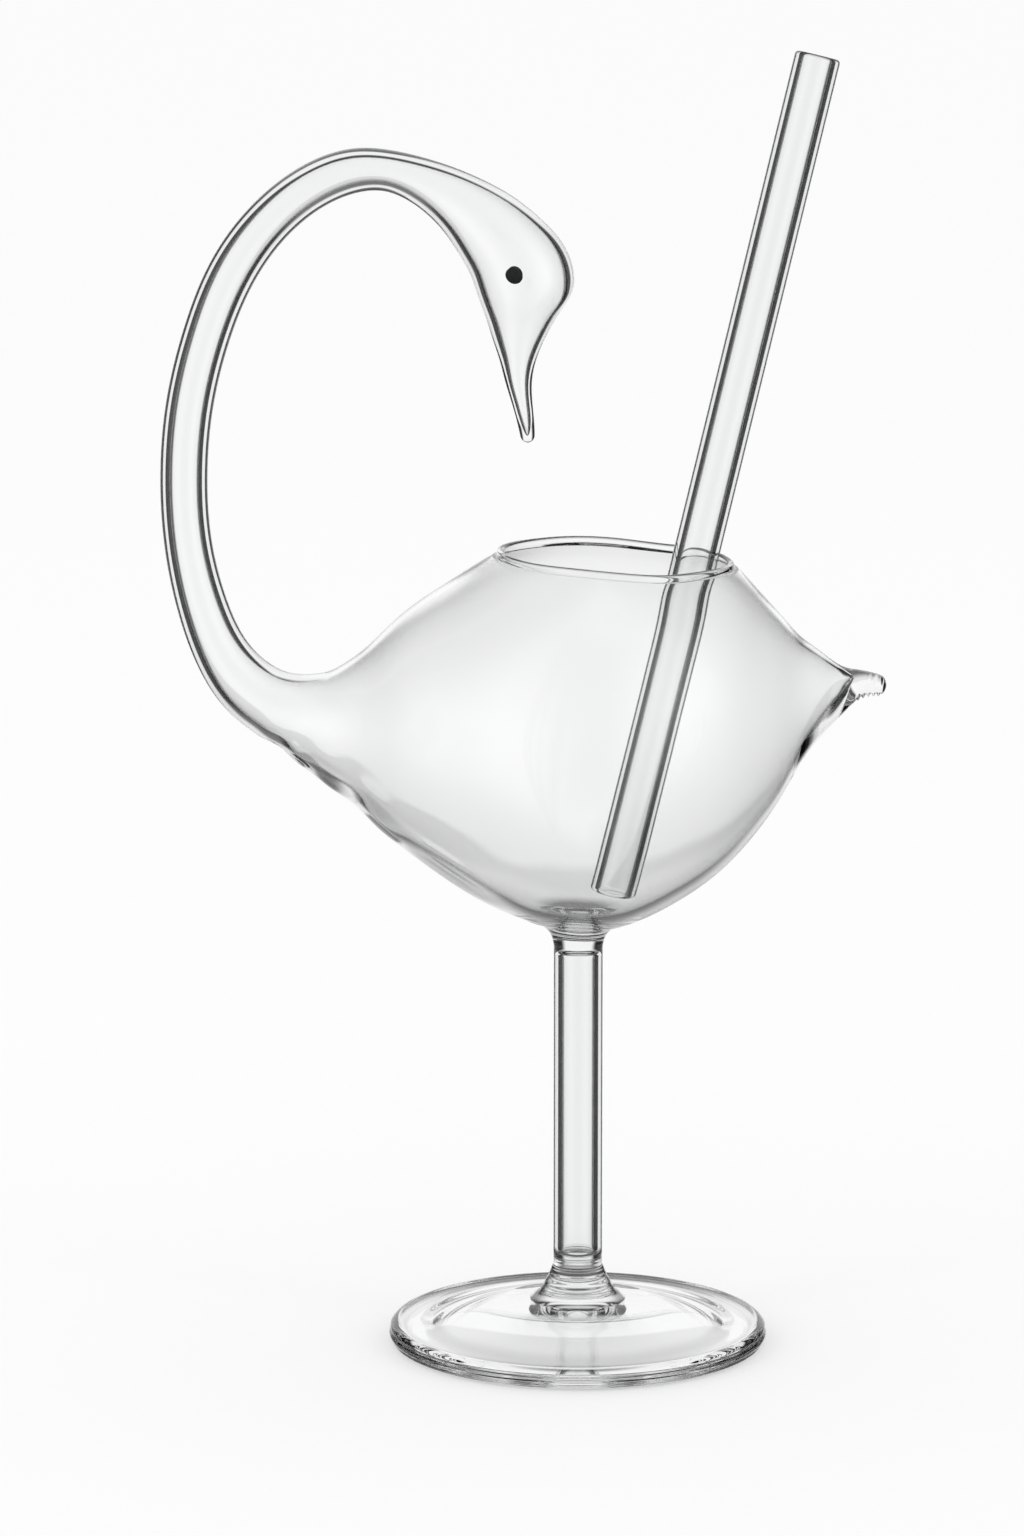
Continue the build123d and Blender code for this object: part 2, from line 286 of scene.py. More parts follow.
# the bird's line, from the tip of the tail to the tip of the beak:
# x, rise over the bowl's axis, heading in degrees, radius in depth, width over depth, wall,
# extra glass underneath
axisHeight = 110.5
birdLine = np.array([
    (53.3, 6.6, 170, 1.30, 1.5, 1.4, 1.6),
    (52.5, 6.8, 172, 1.60, 1.6, 1.4, 1.6),
    (50.6, 7.1, 175, 2.00, 1.5, 1.4, 1.8),
    (48.2, 6.9, 178, 2.70, 1.15, 1.35, 2.0),
    (46.0, 6.1, 180, 3.95, 1.0, 1.35, 2.0),
    (42.0, 5.3, 180, 7.38, 1.0, 1.4, 1.3),
    (38.3, 4.2, 180, 11.29, 1.0, 1.4, 0.9),
    (34.8, 3.1, 180, 16.19, 1.0, 1.4, 0.8),
    (31.0, 2.5, 180, 21.02, 1.0, 1.4, 0.8),
    (26.6, 2.3, 180, 25.84, 1.0, 1.4, 0.8),
    (16.4, 1.2, 180, 32.41, 1.0, 1.4, 0.8),
    (6.3, 0.0, 180, 35.50, 1.0, 1.4, 0.8),
    (-4.0, -0.6, 180, 34.97, 1.0, 1.4, 0.8),
    (-13.8, -1.0, 180, 31.17, 1.0, 1.4, 0.8),
    (-24.0, -1.2, 180, 25.06, 1.0, 1.4, 0.8),
    (-31.0, -1.2, 180, 20.09, 1.0, 1.4, 0.8),
    (-37.5, -0.9, 178, 14.13, 1.0, 1.4, 0.8),
    (-42.0, -0.3, 174, 10.79, 1.0, 1.4, 0.6),
    (-45.0, 0.5, 168, 8.95, 1.0, 1.4, 0.3),
    (-47.6, 1.7, 161, 7.54, 1.0, 1.4, 0),
    (-52.4, 3.4, 151, 6.23, 1.0, 1.6, 0),
    (-57.6, 6.9, 133, 5.49, 1.0, 1.6, 0),
    (-61.8, 12.5, 118, 4.80, 1.0, 1.6, 0),
    (-65.0, 20.4, 107, 4.39, 1.0, 1.6, 0),
    (-67.4, 31.1, 97, 4.14, 1.0, 1.6, 0),
    (-68.1, 43.6, 90, 4.10, 1.0, 1.6, 0),
    (-67.0, 55.8, 81, 4.10, 1.0, 1.6, 0),
    (-64.1, 67.5, 71, 4.10, 1.0, 1.6, 0),
    (-58.9, 79.7, 60, 4.14, 1.0, 1.6, 0),
    (-52.0, 88.5, 44, 4.02, 1.0, 1.6, 0),
    (-44.8, 93.8, 28, 3.94, 1.0, 1.6, 0),
    (-38.0, 96.1, 8, 3.77, 1.0, 1.6, 0),
    (-32.7, 96.0, -11, 3.57, 1.0, 1.55, 0),
    (-27.2, 94.3, -26, 4.02, 1.0, 1.5, 0),
    (-21.1, 91.1, -45, 5.30, 0.92, 1.5, 0),
    (-17.1, 88.1, -54, 6.46, 0.92, 1.5, 0),
    (-13.4, 84.4, -65, 7.65, 0.92, 1.5, 0),
    (-10.8, 80.9, -72, 8.38, 0.92, 1.5, 0),
    (-9.4, 77.2, -79, 8.55, 0.92, 1.5, 0),
    (-9.1, 74.2, -82, 7.91, 0.92, 1.5, 0),
    (-9.6, 71.1, -83, 6.37, 0.93, 1.5, 0),
    (-10.2, 67.6, -84, 4.75, 0.96, 1.45, 0),
    (-10.5, 63.9, -86, 3.30, 1.0, 1.25, 0),
    (-10.4, 59.6, -86, 2.27, 1.0, 1.0, 0),
    (-9.7, 55.4, -87, 1.71, 1.1, 0.85, 0),
    (-9.0, 51.2, -87, 1.33, 1.2, 0.75, 0),
    (-8.8, 49.2, -87, 1.12, 1.2, 0.75, 0),
])
lineAt = np.concatenate([[0], np.cumsum(np.hypot(*np.diff(birdLine[:, :2], axis=0).T))])
birdCurves = [smoothCurve(lineAt, column) for column in birdLine.T]
# rows of the line where the pieces meet
tailEnd, hollowTail, neckRoot, nape, beakRoot, beakTip = lineAt[[3, 4, 19, 33, 42, 46]]
headedLeft = 26  # rows of the line before it turns back over the bowl

# mm by which the outside and the hollow round off at their ends
rounding = {
    "tail": 0.9,
    "beak": 1.2,
    "hollowReach": 1.6,  # how far back towards the tail the bowl's hollow comes to its end
    "hollowFull": 1.5,  # and how far on it has its full width
    "tipTaper": 6.0,  # the beak's hollow narrows from here
    "tipGlass": 1.3,  # to here
    "gap": 0.02,  # left to the point that closes a hollow
}

ripples = {
    "start": -4.0,  # x where the breast's ripples start and end
    "end": -57.0,
    "fadeIn": 12.0,
    "fadeOut": 16.0,
    "length": 9.8,
    "drift": 0.1,  # share by which the length wanders, over this many mm
    "driftLength": 11.0,
    "height": 0.2,
    "slant": 0.9,
    "foldHeight": 0.07,  # folds that run along the keel and cross one another
    "folds": [(9.0, 0.5, 0.0), (-7.5, 0.62, 1.2)],  # waves round, waves along, shift
    "spread": 0.62,  # radians either side of the keel
}
crumple = {
    "length": 0.9,
    "height": 0.26,
    "slant": 2.2,
    "fadeIn": (0.3, 1.2),  # mm along the line
    "fadeOut": (4.6, 6.4),
    "under": (-0.35, -0.85),  # cosine of the angle from the top
}


# where the line, before it turns back, passes over x
def lineOver(x):
    return np.interp(-x, -birdLine[:headedLeft, 0], lineAt[:headedLeft])


rippleStart, rippleEnd = lineOver(ripples["start"]), lineOver(ripples["end"])


# breast ripples: a slow wave along the keel, with two sets of long folds that cross at a
# small angle; all fade at the ends and up the sides
def breastRipple(t, a, inner):
    off = np.angle(np.exp(1j * (a - math.pi)))
    fade = step(rippleStart, rippleStart + ripples["fadeIn"], t)
    fade = fade * (1 - step(rippleEnd - ripples["fadeOut"], rippleEnd, t))
    sides = np.exp(-((off / ripples["spread"]) ** 2))
    length = ripples["length"] * (1.0 + ripples["drift"] * np.sin(t / ripples["driftLength"]))
    along = 2 * math.pi * t / length
    slow = ripples["height"] * np.sin(along + ripples["slant"] * off)
    folds = sum(np.sin(n * off + share * along + shift) for n, share, shift in ripples["folds"])
    folds = ripples["foldHeight"] * (folds * (-1 if inner else 1))
    return fade * sides * (slow + folds)


# pinched underside of the tail's hook: short waves that fade towards its top and its root
def tailCrumple(t, a):
    fade = step(*crumple["fadeIn"], t) * (1 - step(*crumple["fadeOut"], t))
    fade = fade * step(*crumple["under"], np.cos(a))
    along = 2 * math.pi * t / crumple["length"]
    return crumple["height"] * fade * np.sin(along + crumple["slant"] * np.sin(a))


mouth = {
    "x": 6.3,
    "radius": 20.6,
    "thinning": 0.45,  # mm that the wall loses at the mouth
    "thinSpread": 4.0,  # mm over which it does
}


# rounded end of a tube: a quarter ellipse that falls to nothing at t = end
def roundEnd(t, start, end):
    return np.sqrt(np.clip(1 - np.clip((t - start) / (end - start), 0, 1) ** 2, 0, 1))


# the wall thins towards the mouth's rim, over the top of the bowl only: a bell curve of the
# distance from the rim's circle in the plan
def rimThinning(t, x, depth, a):
    reach = np.hypot(x - mouth["x"], depth * np.sin(a)) - mouth["radius"]
    onTop = (t < neckRoot) * step(0, 0.3, np.cos(a))
    return mouth["thinning"] * onTop * np.exp(-((reach / mouth["thinSpread"]) ** 2))


# ellipse square to the line, its angle a counted from the back; the hollow is moved in by the wall
def birdSurface(inner):
    def surface(t, a):
        x, rise, heading, depth, ratio, wall, floor = (curve(t) for curve in birdCurves)
        heading = np.radians(heading)
        inset = (wall + floor / 2 - rimThinning(t, x, depth, a)) * inner
        deep, wide = depth - inset, depth * ratio - inset
        if inner:
            full, reach = hollowTail + rounding["hollowFull"], hollowTail - rounding["hollowReach"]
            taper, tip = beakTip - rounding["tipTaper"], beakTip - rounding["tipGlass"]
            ends = roundEnd(t, full, reach) * roundEnd(t, taper, tip)
        else:
            ends = roundEnd(t, rounding["tail"], 0.0)
            ends = ends * roundEnd(t, beakTip - rounding["beak"], beakTip)
        ripple = breastRipple(t, a, inner) + (0 if inner else tailCrumple(t, a))
        up = ends * (np.maximum(deep, 0.1) + ripple) * np.cos(a) + floor / 2 * inner
        across = ends * (np.maximum(wide, 0.1) + ripple) * np.sin(a)
        return np.stack(
            [x + up * np.sin(heading), across, axisHeight + rise - up * np.cos(heading)], axis=-1
        )

    return surface


outerBird, innerBird = birdSurface(0), birdSurface(1)


def birdAxis(t):
    x, rise = birdCurves[0](t), birdCurves[1](t)
    return np.array([float(x), 0.0, axisHeight + float(rise)])


def birdHeading(t):
    turn = math.radians(float(birdCurves[2](t)))
    return np.array([math.cos(turn), 0.0, math.sin(turn)])


# a stretch of the bird as a grid of rows along it and columns round it
def birdGrid(piece, surface, start, end, rows, columns):
    t, a = np.meshgrid(
        np.linspace(start, end, rows), np.arange(columns) * 2 * math.pi / columns, indexing="ij"
    )
    return piece.add(surface(t, a), surfaceNormals(surface, t, a))


tail = {"rows": 40, "columns": 96, "start": 0.03}
tailPiece = Piece("tail_tip_glass")
ids = birdGrid(tailPiece, outerBird, tail["start"], tailEnd, tail["rows"], tail["columns"])
tailPiece.skin(ids)
tailPiece.fan(ids[0], birdAxis(0), -birdHeading(0), flip=True)
tailPiece.fan(ids[-1], birdAxis(tailEnd), birdHeading(tailEnd), slot=1)
tailPiece.make([drawnGlass, fusedJoin], "glass", ["tail_tip"], "clear_glass")

bowl = {
    "rows": 170,
    "columns": 240,
    "mouthRadius": 21.3,  # where the wall's outside and inside end at the rim
    "mouthInside": 20.0,
    # radius and height over the wall's end, from the wall's outside over the lip to its inside
    "lip": [
        (21.3, 0), (20.9, 0.08), (20.66, 0.22), (20.55, 0.45), (20.52, 0.8), (20.45, 1.08),
        (20.25, 1.25), (19.95, 1.3), (19.65, 1.22), (19.42, 1.02), (19.36, 0.78), (19.38, 0.5),
        (19.46, 0.22), (19.6, 0.01), (19.79, -0.14), (20.0, -0.25),
    ],
    "lipSteps": 22,
    "collarRadius": 10.2,  # where the stem's collar runs out under the bowl
    # cells of the grid that become the mouth and the collar's seat, and the larger zones that
    # give way round them: x in mm and angle in degrees
    "openingReach": 17,
    "openingTurn": 28,
    "openingZone": (33, -24),
    "openingZoneTurn": 64,
    "seatReach": 8.5,
    "seatTurn": 14,
    "seatZone": 22,
    "seatZoneTurn": 42,
}


# moves the grid so that a block of cells fills a circle of the plan, centred on the line
def fitCircle(t, a, surface, centreX, radius, block, zone, under):
    def plan(tt, aa):
        place = surface(tt, aa)
        return place[..., 0] - centreX, place[..., 1]

    def ring(rows, columns):
        top, bottom, left, right = rows[0], rows[1], columns[0], columns[1]
        count = 400
        tt = np.concatenate([
            np.full(count, t[top, 0]), np.linspace(t[top, 0], t[bottom, 0], count),
            np.full(count, t[bottom, 0]), np.linspace(t[bottom, 0], t[top, 0], count),
        ])
        aa = np.concatenate([
            np.linspace(a[0, left], a[0, right], count), np.full(count, a[0, right]),
            np.linspace(a[0, right], a[0, left], count), np.full(count, a[0, left]),
        ])
        dx, dy = plan(tt, aa)
        turn, reach = np.arctan2(dy, dx), np.hypot(dx, dy)
        order = np.argsort(turn)
        return turn[order], reach[order]

    dx, dy = plan(t, a)
    turn, reach = np.arctan2(dy, dx), np.hypot(dx, dy)
    near = np.interp(turn, *ring(*block), period=2 * math.pi)
    far = np.interp(turn, *ring(*zone), period=2 * math.pi)
    inside = reach * radius / near
    between = radius + (reach - near) * (far - radius) / (far - near)
    rows, columns = np.indices(t.shape)
    here = (rows >= zone[0][0]) & (rows <= zone[0][1])
    here &= (columns >= zone[1][0]) & (columns <= zone[1][1])
    moved = np.where(reach <= near, inside, between)
    moved = np.where(here & (reach < far), moved, reach)
    newX, newY = moved * np.cos(turn), moved * np.sin(turn)
    # back to the line: x gives t, and the share of the half width gives the angle
    margin = 4
    table = np.linspace(t[zone[0][0] - margin, 0], t[zone[0][1] + margin, 0], 3000)
    tableX = surface(table, np.zeros_like(table))[..., 0] - centreX
    newT = np.interp(-newX, -tableX, table)
    width = surface(newT, np.full_like(newT, math.pi / 2))[..., 1]
    lean = np.arcsin(np.clip(newY / width, -1, 1))
    newA = math.pi - lean if under else lean
    changed = here & (np.abs(moved - reach) > 1e-9)
    return np.where(changed, newT, t), np.where(changed, newA, a)


# a smooth profile through given points, evenly spread by length
def profileThrough(points, count):
    points = np.asarray(points, float)
    at = np.concatenate([[0], np.cumsum(np.hypot(*np.diff(points, axis=0).T))])
    even = np.linspace(0, at[-1], count)
    return smoothCurve(at, points[:, 0])(even), smoothCurve(at, points[:, 1])(even)


def blockLoop(ids, block):
    (top, bottom), (left, right) = block
    return np.concatenate([
        ids[top, left:right], ids[top:bottom, right],
        ids[bottom, right:left:-1], ids[bottom:top:-1, left],
    ])


def makeBowl():
    piece = Piece("bowl_glass")
    rows, columns = bowl["rows"], bowl["columns"]
    lines = np.linspace(tailEnd, neckRoot, rows)
    angles = -math.pi / 2 + 2 * math.pi * np.arange(columns) / columns
    lineX = birdCurves[0](lines)

    def rowAt(x):
        return int(np.argmin(np.abs(lineX - x)))

    def columnAt(degrees):
        return int(round((degrees + 90) / 360 * columns))

    # cells between two places along x, and this many degrees either side of the angle facing
    def cellBlock(highX, lowX, facing, turn):
        return (rowAt(highX), rowAt(lowX)), (columnAt(facing - turn), columnAt(facing + turn))

    middle, half = mouth["x"], bowl["openingReach"]
    opening = cellBlock(middle + half, middle - half, 0, bowl["openingTurn"])
    mouthZone = cellBlock(*bowl["openingZone"], 0, bowl["openingZoneTurn"])
    seat = cellBlock(bowl["seatReach"], -bowl["seatReach"], 180, bowl["seatTurn"])
    seatZone = cellBlock(bowl["seatZone"], -bowl["seatZone"], 180, bowl["seatZoneTurn"])
    hollowEnd = hollowTail - rounding["hollowReach"]
    grids = []
    for surface in (outerBird, innerBird):
        inner = surface is innerBird
        start = hollowEnd + rounding["gap"] if inner else tailEnd
        t, a = np.meshgrid(lines, angles, indexing="ij")
        if inner:
            t = start + (t - t[0, 0]) * (neckRoot - start) / (neckRoot - tailEnd)
        rim = bowl["mouthInside"] if inner else bowl["mouthRadius"]
        t, a = fitCircle(t, a, surface, middle, rim, opening, mouthZone, False)
        if not inner:
            t, a = fitCircle(t, a, surface, 0.0, bowl["collarRadius"], seat, seatZone, True)
        grids.append((surface(t, a), surfaceNormals(surface, t, a)))
    (outer, outerNormal), (inner, innerNormal) = grids
    cell = np.indices((rows - 1, columns))
    isOpen = (cell[0] >= opening[0][0]) & (cell[0] < opening[0][1])
    isOpen &= (cell[1] >= opening[1][0]) & (cell[1] < opening[1][1])
    joined = (cell[0] >= seat[0][0]) & (cell[0] < seat[0][1])
    joined &= (cell[1] >= seat[1][0]) & (cell[1] < seat[1][1])
    outerIds = piece.add(outer, outerNormal)
    innerIds = piece.add(inner, innerNormal)
    piece.skin(outerIds, slot=joined.astype(int), keep=~isOpen)
    piece.skin(innerIds, flip=True, keep=~isOpen)
    piece.fan(innerIds[0], birdAxis(hollowEnd), birdHeading(hollowTail))
    # ring at the neck's root and disc at the tail, where the glass runs on
    ends = np.stack([outerIds[-1], innerIds[-1]])
    piece.skin(ends, slot=1)
    piece.fan(outerIds[0], birdAxis(tailEnd), -birdHeading(tailEnd), flip=True, slot=1)
    # the rim: an upright lip from the wall's outside, over its rounded top, to the wall's inside
    outside = blockLoop(outerIds, opening)
    inside = blockLoop(innerIds, opening)
    flat = np.concatenate(piece.points)
    start, end = flat[outside], flat[inside]
    plan = start[:, :2] - (middle, 0)
    spoke = unit(np.column_stack([plan, np.zeros(len(plan))]))
    radius, height = profileThrough(bowl["lip"], bowl["lipSteps"] + 2)
    rim = radius[:, None, None] * spoke + height[:, None, None] * np.array([0, 0, 1.0])
    rim = rim + np.stack([np.full(len(plan), middle), 0 * plan[:, 0], start[:, 2]], axis=-1)
    # its first and last rows are drawn onto the wall's own edges
    share = np.linspace(0, 1, len(radius))[:, None, None]
    first, last = 1 - step(0, 0.35, share), step(0.45, 1, share)
    rim = rim + (start - rim[0]) * first + (end - rim[-1]) * last
    along = np.gradient(rim, axis=0)
    around = np.roll(rim, -1, axis=1) - np.roll(rim, 1, axis=1)
    rimIds = piece.add(rim[1:-1], unit(np.cross(around, along))[1:-1])
    piece.skin(np.concatenate([outside[None], rimIds, inside[None]]))
    return piece.make([bowlGlass, fusedJoin], "glass", ["bowl"], "clear_glass")


makeBowl()


# outside and hollow of a stretch of the bird, with a ring that closes its first end
def hollowPiece(node, start, end, hollowStop, size):
    piece = Piece(node + "_glass")
    outerIds = birdGrid(piece, outerBird, start, end, size["rows"], size["columns"])
    innerIds = birdGrid(piece, innerBird, start, hollowStop, size["rows"], size["columns"])
    piece.skin(outerIds)
    piece.skin(innerIds, flip=True)
    piece.skin(np.stack([outerIds[0], innerIds[0]]), flip=True, slot=1)
    return piece, outerIds, innerIds


def makeDrawnTube(node, start, end, size):
    piece, outerIds, innerIds = hollowPiece(node, start, end, end, size)
    piece.skin(np.stack([outerIds[-1], innerIds[-1]]), slot=1)
    piece.make([drawnGlass, fusedJoin], "glass", [node], "clear_glass")


neck = {"rows": 220, "columns": 96}
makeDrawnTube("neck", neckRoot, nape, neck)

head = {"rows": 110, "columns": 128}
makeDrawnTube("head", nape, beakRoot, head)

beak = {"rows": 60, "columns": 96, "gap": 0.01}
cavityEnd = beakTip - rounding["tipGlass"] - rounding["gap"]
beakPiece, outerIds, innerIds = hollowPiece(
    "beak", beakRoot, beakTip - beak["gap"], cavityEnd, beak
)
beakPiece.fan(outerIds[-1], birdAxis(beakTip), birdHeading(beakTip))
beakPiece.fan(innerIds[-1], birdAxis(cavityEnd + beak["gap"]), -birdHeading(beakTip), flip=True)
beakPiece.make([drawnGlass, fusedJoin], "glass", ["beak"], "clear_glass")


# a profile of (radius, height) carried round the axis; its normals stand square to the profile
def turned(piece, radius, height, columns):
    angle = 2 * math.pi * np.arange(columns) / columns
    dr, dz = np.gradient(radius), np.gradient(height)
    normal = unit(np.stack([-dz, dr], axis=-1))
    ring = np.stack([np.cos(angle), np.sin(angle)], axis=-1)

    def carry(outward, upward):
        upward = np.broadcast_to(upward[:, None, None], (len(radius), columns, 1))
        return np.concatenate([outward[:, None, None] * ring[None], upward], axis=-1)

    return piece.add(carry(radius, height), carry(normal[:, 0], normal[:, 1]))


foot = {
    "seat": 8.0,  # height of the face under the collar
    "rows": 390,
    "columns": 240,
    # radius and height, from the seat over the rim and back under the hollow
    "profile": [
        (8.3, 8.0), (8.5, 7.87), (8.85, 7.76), (9.6, 7.6), (11.6, 7.1), (15.0, 6.2), (20.0, 5.02),
        (25.0, 4.2), (28.4, 3.72), (30.0, 3.5), (30.8, 3.62), (31.5, 3.88), (32.1, 3.8),
        (32.75, 3.35), (33.05, 2.85), (32.85, 2.4), (33.2, 1.9), (33.12, 1.4), (32.85, 1.05),
        (32.8, 0.72), (32.2, 0.3), (31.4, 0.06), (30.4, 0.0), (28.6, 0.0), (27.4, 0.16),
        (25.0, 0.95), (20.0, 2.25), (14.0, 3.6), (8.0, 4.7), (3.0, 5.2), (0.2, 5.25),
    ],
}
footPiece = Piece("foot_glass")
radius, height = profileThrough(foot["profile"], foot["rows"])
ids = turned(footPiece, radius, height, foot["columns"])
footPiece.skin(ids, flip=True)
footPiece.fan(ids[0], (0, 0, foot["seat"]), (0, 0, 1), slot=1)
footPiece.fan(ids[-1], (0, 0, height[-1]), (0, 0, -1), flip=True)
footPiece.make([tubeGlass, fusedJoin], "glass", ["foot"], "clear_glass")

stem = {
    "radius": 4.3,
    "bore": 2.85,
    "bottom": 15.0,
    "top": 71.2,
    "rows": 60,
    "columns": 128,
    "seal": 0.5,  # glass between the bore and the stem's ends
    "boreCap": 1.3,  # mm over which the bore is drawn in
    "boreStart": 1.5,
    "boreRows": 40,
    "capRows": 16,
    "capGap": 0.02,  # radians left to the point that closes the bore
}

footCollar = {
    "rows": 80,
    "columns": 160,
    "profile": [
        (8.3, 8.0), (7.35, 8.6), (6.55, 9.35), (6.35, 9.75), (6.0, 10.2), (5.75, 10.9),
        (5.5, 11.35), (5.2, 11.8), (5.0, 12.35), (4.72, 13.0), (4.58, 13.45), (4.4, 13.9),
        (4.32, 14.4), (4.3, 14.7), (4.3, 15.0),
    ],
}
collarPiece = Piece("foot_collar_glass")
radius, height = profileThrough(footCollar["profile"], footCollar["rows"])
ids = turned(collarPiece, radius, height, footCollar["columns"])
collarPiece.skin(ids)
collarPiece.fan(ids[0], (0, 0, foot["seat"]), (0, 0, -1), flip=True, slot=1)
collarPiece.fan(ids[-1], (0, 0, stem["bottom"]), (0, 0, 1), slot=1)
collarPiece.make([tubeGlass, fusedJoin], "glass", ["foot_collar"], "clear_glass")

stemPiece = Piece("stem_glass")
radius = np.full(stem["rows"], stem["radius"])
height = np.linspace(stem["bottom"], stem["top"], stem["rows"])
ids = turned(stemPiece, radius, height, stem["columns"])
stemPiece.skin(ids)
stemPiece.fan(ids[0], (0, 0, stem["bottom"]), (0, 0, -1), flip=True, slot=1)
stemPiece.fan(ids[-1], (0, 0, stem["top"]), (0, 0, 1), slot=1)
# sealed bore: a tube whose ends are drawn in
boreLow, boreHigh = stem["bottom"] + stem["seal"], stem["top"] - stem["seal"]
turn = np.linspace(stem["capGap"], math.pi / 2, stem["capRows"])
capRadius = stem["bore"] * np.sin(turn) ** 0.5
capRise = stem["boreCap"] * (1 - np.cos(turn))
straight = np.linspace(
    boreLow + stem["boreStart"], boreHigh - stem["boreStart"], stem["boreRows"]
)
radius = np.concatenate([capRadius, np.full(len(straight), stem["bore"]), capRadius[::-1]])
height = np.concatenate([boreLow + capRise, straight, boreHigh - capRise[::-1]])
ids = turned(stemPiece, radius, height, stem["columns"])
stemPiece.skin(ids, flip=True)
stemPiece.fan(ids[0], (0, 0, boreLow), (0, 0, 1))
stemPiece.fan(ids[-1], (0, 0, boreHigh), (0, 0, -1), flip=True)
stemPiece.make([tubeGlass, fusedJoin], "glass", ["stem"], "clear_glass")

# collar under the bowl: from the stem's end out to a circle on the bowl's skin
stemCollar = {
    "columns": 160,
    "rows": 70,
    "share": [0, 0.25, 0.5, 0.75, 1.0],
    "radius": [4.3, 4.75, 5.9, 7.9, bowl["collarRadius"]],
    "lift": [0.0, 0.34, 0.62, 0.84, 1.0],  # share of the way up at each share of the rows
}


# height of the bowl's skin under its line: rise less the root of depth squared less y squared
def bowlUnderside(x, y):
    table = np.linspace(tailEnd, neckRoot, 4000)
    t = np.interp(-x, -birdCurves[0](table), table)
    depth, rise = birdCurves[3](t), birdCurves[1](t)
    return axisHeight + rise - np.sqrt(np.maximum(depth**2 - y**2, 0))


collarRadius = smoothCurve(stemCollar["share"], stemCollar["radius"])
collarLift = smoothCurve(stemCollar["share"], stemCollar["lift"])


def collarSurface(v, angle):
    radius = collarRadius(v)
    x, y = radius * np.cos(angle), radius * np.sin(angle)
    edge = bowl["collarRadius"]
    top = bowlUnderside(edge * np.cos(angle), edge * np.sin(angle))
    z = stem["top"] + collarLift(v) * (top - stem["top"])
    return np.stack([x, y, z], axis=-1)


collarTop = Piece("stem_collar_glass")
v, angle = np.meshgrid(
    np.linspace(0, 1, stemCollar["rows"]),
    2 * math.pi * np.arange(stemCollar["columns"]) / stemCollar["columns"],
    indexing="ij",
)
normals = surfaceNormals(collarSurface, v, angle, du=0.002)
ids = collarTop.add(collarSurface(v, angle), normals)
collarTop.skin(ids)
collarTop.fan(ids[0], (0, 0, stem["top"]), (0, 0, -1), flip=True, slot=1)
seatTop = float(bowlUnderside(np.array(0.0), np.array(0.0)))
collarTop.fan(ids[-1], (0, 0, seatTop), (0, 0, 1), slot=1)
collarTop.make([tubeGlass, fusedJoin], "glass", ["stem_collar"], "clear_glass")

# straw: a tube with melted ends, turned upright and then laid on its leaning axis
strawBore = [m for m in frame["record"]["mounts"] if m["name"] == "straw_bore"][0]
straw = {
    "middle": 1000 * np.array(strawBore["pos_m"]), "axis": np.array(strawBore["axis"]),
    "radius": 4.0, "bore": strawBore["dims"]["r_mm"], "length": strawBore["dims"]["length_mm"],
    "rows": 60, "endRows": 15, "columns": 96,
    "endGap": 0.4,  # mm between the rounded end and the first row of the straight
}


def makeStraw():
    piece = Piece("straw_glass")
    half = (straw["radius"] - straw["bore"]) / 2
    mean = straw["bore"] + half
    turn = np.linspace(0, math.pi, straw["endRows"])
    gap = half + straw["endGap"]
    long = np.linspace(gap, straw["length"] - gap, straw["rows"])
    radius = np.concatenate([
        np.full(len(long), straw["radius"]), mean + half * np.cos(turn),
        np.full(len(long), straw["bore"]), mean - half * np.cos(turn),
    ])
    height = np.concatenate([
        long, straw["length"] - half + half * np.sin(turn), long[::-1], half - half * np.sin(turn),
    ])
    dr = np.roll(radius, -1) - np.roll(radius, 1)
    dz = np.roll(height, -1) - np.roll(height, 1)
    normal = unit(np.stack([dz, -dr], axis=-1))
    angle = 2 * math.pi * np.arange(straw["columns"]) / straw["columns"]
    axis = unit(straw["axis"])
    sideways = unit(np.cross(axis, (0, 1.0, 0)))
    other = np.cross(axis, sideways)
    ring = np.cos(angle)[:, None] * sideways + np.sin(angle)[:, None] * other
    foot = straw["middle"] - axis * straw["length"] / 2
    points = radius[:, None, None] * ring + height[:, None, None] * axis + foot
    normals = normal[:, :1, None] * ring + normal[:, 1:, None] * axis
    ids = piece.add(points, normals)
    piece.skin(np.concatenate([ids, ids[:1]]))
    return piece.make([tubeGlass], "straw", ["straw"], "straw_glass")


makeStraw()

# eyes: low domes of fired enamel that lie on the cheeks
eyes = {
    "x": -11.24,
    "leftRise": 78.85,
    "rightRise": 77.4,
    "radius": 1.45,
    "dome": 0.42,
    "lift": 0.02,  # mm by which the edge stands off the cheek
    "sunk": 0.05,  # mm by which the underside lies in it
    "lean": 0.55,  # how far the normals lean out at the edge
    "rows": 24,
    "columns": 64,
}


